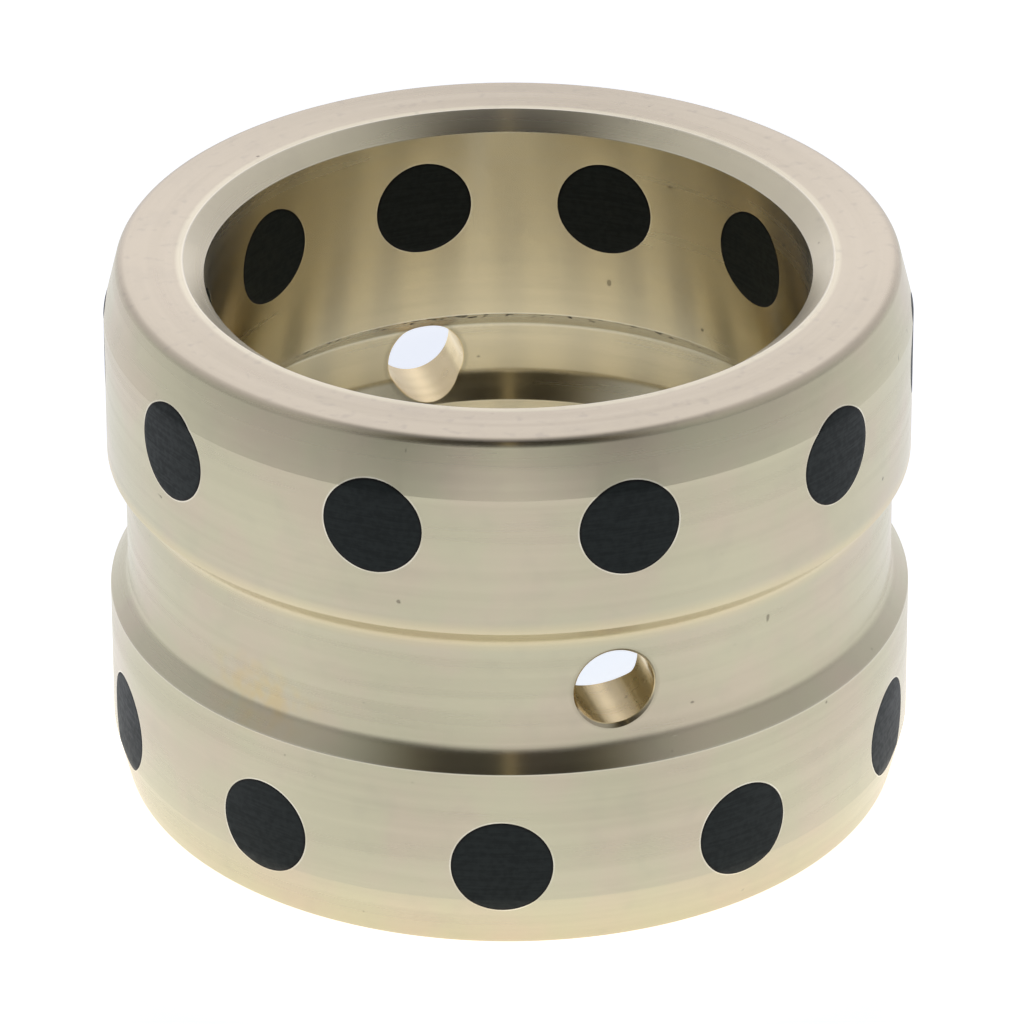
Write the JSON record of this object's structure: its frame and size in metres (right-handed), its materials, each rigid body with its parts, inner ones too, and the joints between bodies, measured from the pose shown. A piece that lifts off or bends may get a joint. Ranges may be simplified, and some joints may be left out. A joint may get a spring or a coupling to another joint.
{
  "type": "graphite plugged bushing",
  "caption": "Plain cylindrical bronze bushing with staggered rows of graphite plugs, lubrication grooves round its outside and bore, and oil holes that join them.",
  "frame": {"origin": "centre of the bottom face, on the axis of the bore", "axes": "+Z along the bore from the bottom face to the top face; the two oil holes lie along Y"},
  "size_m": [0.08, 0.08, 0.056],
  "materials": {
    "bronze": "satin",
    "graphite": "satin"
  },
  "bodies": {
    "root": {"bronze_sleeve": "bronze", "upper_graphite_plug_01": "graphite", "upper_graphite_plug_02": "graphite", "upper_graphite_plug_03": "graphite", "upper_graphite_plug_04": "graphite", "upper_graphite_plug_05": "graphite", "upper_graphite_plug_06": "graphite", "upper_graphite_plug_07": "graphite", "upper_graphite_plug_08": "graphite", "upper_graphite_plug_09": "graphite", "upper_graphite_plug_10": "graphite", "lower_graphite_plug_01": "graphite", "lower_graphite_plug_02": "graphite", "lower_graphite_plug_03": "graphite", "lower_graphite_plug_04": "graphite", "lower_graphite_plug_05": "graphite", "lower_graphite_plug_06": "graphite", "lower_graphite_plug_07": "graphite", "lower_graphite_plug_08": "graphite", "lower_graphite_plug_09": "graphite", "lower_graphite_plug_10": "graphite"}
  },
  "joints": []
}
